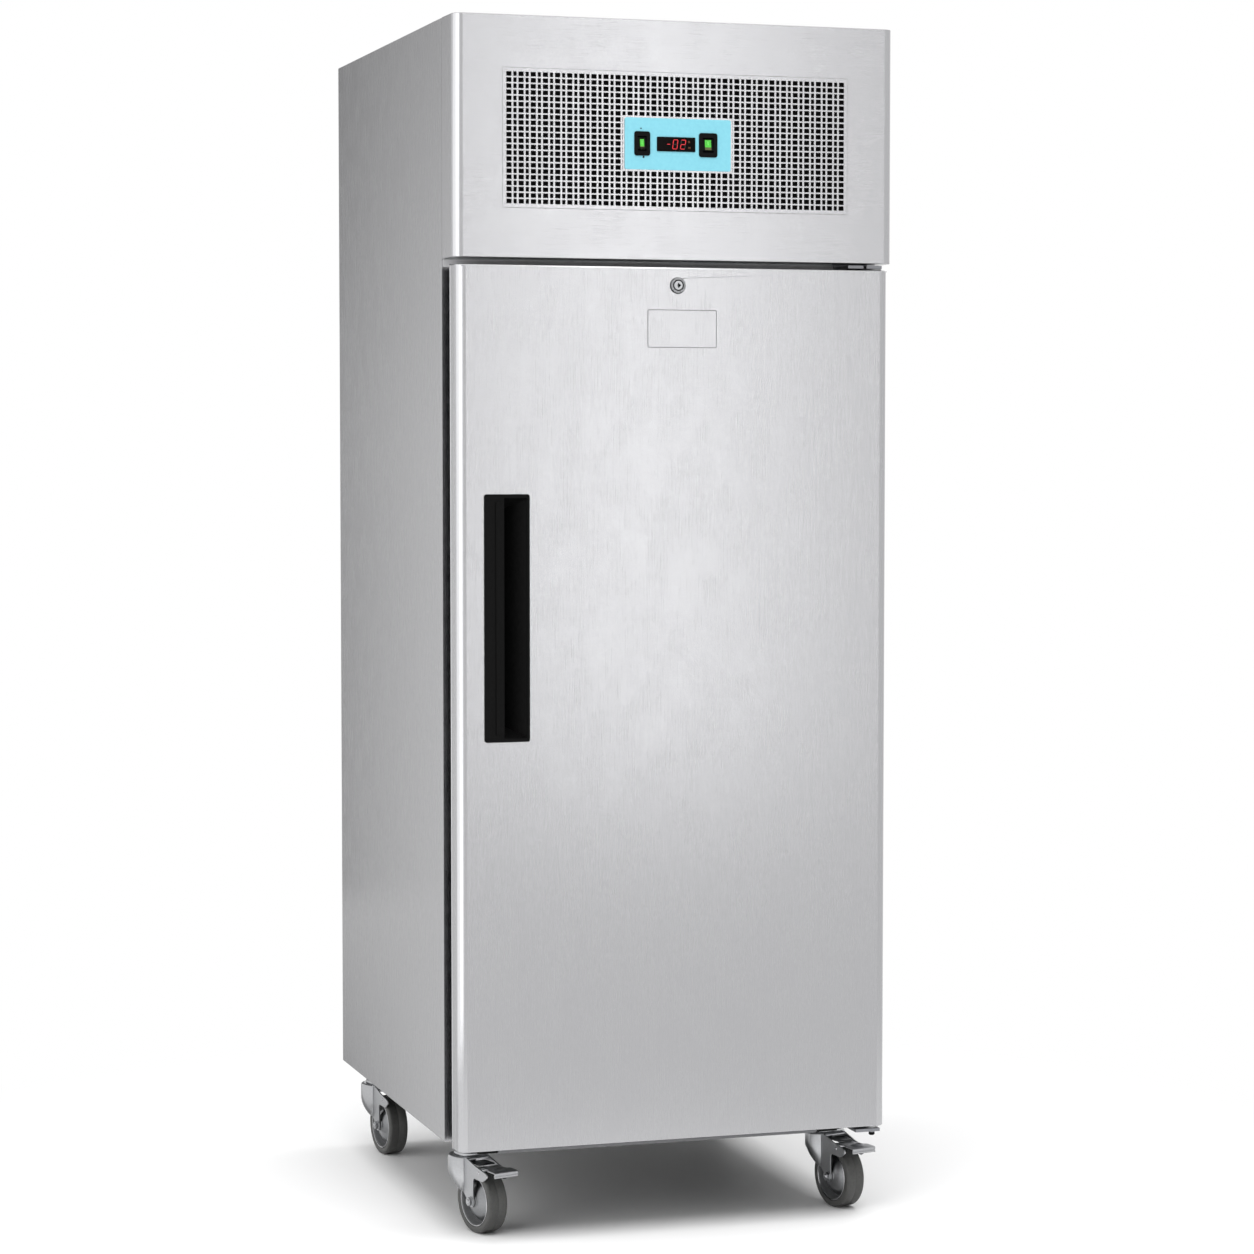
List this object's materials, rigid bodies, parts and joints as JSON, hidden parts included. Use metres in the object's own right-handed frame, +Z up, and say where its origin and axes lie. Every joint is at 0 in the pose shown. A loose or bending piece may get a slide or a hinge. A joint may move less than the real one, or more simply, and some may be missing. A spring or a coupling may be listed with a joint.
{
  "type": "upright refrigerator",
  "caption": "Stainless upright refrigerator on swivel castors with a right-hung door, recessed handle, lock, and a swing-up header over a top-mounted refrigeration unit",
  "frame": {"origin": "on the floor, under the middle of the bounding box", "axes": "+Z up, front with door and controls towards -Y, +X to the right of someone facing the door"},
  "size_m": [0.74, 0.838, 1.955],
  "materials": {
    "stainless": "brushed stainless steel",
    "galvanised": "galvanised sheet steel",
    "foam": "rigid polyurethane foam",
    "coated_wire": "plastic coated steel wire",
    "white_plastic": "moulded plastic",
    "grey_plastic": "moulded plastic",
    "fin_aluminium": "rolled aluminium fins",
    "dark_metal": "black paint",
    "compressor_black": "gloss black paint",
    "black_plastic": "moulded black plastic",
    "dark_plastic": "moulded dark plastic",
    "copper": "drawn copper tube",
    "zinc": "zinc plated pressed steel",
    "filter_foam": "open cell filter foam",
    "blue_membrane": "printed membrane",
    "display_black": "polished window",
    "rocker_green": "translucent lit plastic",
    "gasket_rubber": "magnetic door gasket",
    "chrome": "chrome plated",
    "hub_grey": "moulded plastic",
    "tyre_rubber": "solid rubber"
  },
  "bodies": {
    "cabinet": {"side_panel_left": "stainless", "side_panel_right": "stainless", "back_panel": "galvanised", "base_panel": "galvanised", "insulation_foam": "foam", "inner_liner": "stainless", "front_frame": "stainless", "machine_deck": "galvanised", "shelf_supports": "stainless", "wire_shelf_lower": "coated_wire", "wire_shelf_middle": "coated_wire", "wire_shelf_upper": "coated_wire", "evaporator_cover": "white_plastic", "evaporator_coil": "fin_aluminium", "evaporator_fan_motor": "dark_metal", "unit_tray": "galvanised", "compressor": "compressor_black", "condenser_coil": "fin_aluminium", "fan_shroud": "galvanised", "condenser_fan_motor": "dark_metal", "refrigerant_pipes": "copper", "terminal_box": "grey_plastic", "hinge_bracket_top": "zinc", "hinge_bracket_bottom": "zinc", "lock_striker": "black_plastic", "header_hinges": "zinc", "castor_plates": "zinc"},
    "door": {"door_skin": "stainless", "door_foam": "foam", "door_inner_panel": "dark_plastic", "door_gasket": "gasket_rubber", "handle_pocket": "black_plastic", "lock_housing": "chrome", "hinge_bushes": "white_plastic"},
    "lock_plug": {"lock_plug": "chrome"},
    "header": {"header_panel": "stainless", "vent_grille": "stainless", "air_filter": "filter_foam", "control_panel": "blue_membrane", "control_box": "black_plastic", "display_module": "display_black", "switch_housings": "black_plastic"},
    "rocker_left": {"rocker_left": "rocker_green"},
    "rocker_right": {"rocker_right": "rocker_green"},
    "condenser_fan": {"condenser_fan": "black_plastic"},
    "evaporator_fan": {"evaporator_fan": "black_plastic"},
    "castor_fl": {"castor_fork_fl": "zinc"},
    "wheel_fl": {"castor_hub_fl": "hub_grey", "castor_tyre_fl": "tyre_rubber"},
    "brake_pedal_fl": {"brake_pedal_fl": "zinc"},
    "castor_fr": {"castor_fork_fr": "zinc"},
    "wheel_fr": {"castor_hub_fr": "hub_grey", "castor_tyre_fr": "tyre_rubber"},
    "brake_pedal_fr": {"brake_pedal_fr": "zinc"},
    "castor_rl": {"castor_fork_rl": "zinc"},
    "wheel_rl": {"castor_hub_rl": "hub_grey", "castor_tyre_rl": "tyre_rubber"},
    "castor_rr": {"castor_fork_rr": "zinc"},
    "wheel_rr": {"castor_hub_rr": "hub_grey", "castor_tyre_rr": "tyre_rubber"}
  },
  "joints": [
    {"name": "door_hinge", "type": "hinge", "parent": "cabinet", "child": "door", "pos_m": [0.348, -0.395, 0.858], "axis": [0, 0, 1], "range_deg": [0, 110]},
    {"name": "lock_turn", "type": "hinge", "parent": "door", "child": "lock_plug", "pos_m": [0.001, -0.395, 1.535], "axis": [0, 1, 0], "range_deg": [0, 90]},
    {"name": "header_hinge", "type": "hinge", "parent": "cabinet", "child": "header", "pos_m": [0, -0.3425, 1.9515], "axis": [-1, 0, 0], "range_deg": [0, 60]},
    {"name": "rocker_left_tilt", "type": "hinge", "parent": "header", "child": "rocker_left", "pos_m": [-0.0605, -0.411, 1.759], "axis": [1, 0, 0], "range_deg": [0, 18]},
    {"name": "rocker_right_tilt", "type": "hinge", "parent": "header", "child": "rocker_right", "pos_m": [0.0505, -0.411, 1.759], "axis": [1, 0, 0], "range_deg": [0, 18]},
    {"name": "condenser_fan_spin", "type": "hinge", "parent": "cabinet", "child": "condenser_fan", "pos_m": [-0.12, -0.2, 1.7375], "axis": [0, 1, 0], "continuous": true},
    {"name": "evaporator_fan_spin", "type": "hinge", "parent": "cabinet", "child": "evaporator_fan", "pos_m": [0, -0.008, 1.425], "axis": [0, 0, 1], "continuous": true},
    {"name": "swivel_fl", "type": "hinge", "parent": "cabinet", "child": "castor_fl", "pos_m": [-0.312, -0.282, 0.12], "axis": [0, 0, 1], "continuous": true},
    {"name": "wheel_turn_fl", "type": "hinge", "parent": "castor_fl", "child": "wheel_fl", "pos_m": [-0.30158, -0.31834, 0.0525], "axis": [0.9613, 0.2756, 0], "continuous": true},
    {"name": "brake_fl", "type": "hinge", "parent": "castor_fl", "child": "brake_pedal_fl", "pos_m": [-0.29601, -0.33775, 0.1065], "axis": [0.9613, 0.2756, 0], "range_deg": [0, 14]},
    {"name": "swivel_fr", "type": "hinge", "parent": "cabinet", "child": "castor_fr", "pos_m": [0.312, -0.282, 0.12], "axis": [0, 0, 1], "continuous": true},
    {"name": "wheel_turn_fr", "type": "hinge", "parent": "castor_fr", "child": "wheel_fr", "pos_m": [0.31986, -0.31897, 0.0525], "axis": [0.9781, 0.2079, 0], "continuous": true},
    {"name": "brake_fr", "type": "hinge", "parent": "castor_fr", "child": "brake_pedal_fr", "pos_m": [0.32406, -0.33873, 0.1065], "axis": [0.9781, 0.2079, 0], "range_deg": [0, 14]},
    {"name": "swivel_rl", "type": "hinge", "parent": "cabinet", "child": "castor_rl", "pos_m": [-0.312, 0.351, 0.12], "axis": [0, 0, 1], "continuous": true},
    {"name": "wheel_turn_rl", "type": "hinge", "parent": "castor_rl", "child": "wheel_rl", "pos_m": [-0.30674, 0.31357, 0.0525], "axis": [0.9903, 0.1392, 0], "continuous": true},
    {"name": "swivel_rr", "type": "hinge", "parent": "cabinet", "child": "castor_rr", "pos_m": [0.312, 0.351, 0.12], "axis": [0, 0, 1], "continuous": true},
    {"name": "wheel_turn_rr", "type": "hinge", "parent": "castor_rr", "child": "wheel_rr", "pos_m": [0.312, 0.3132, 0.0525], "axis": [1, 0, 0], "continuous": true}
  ]
}
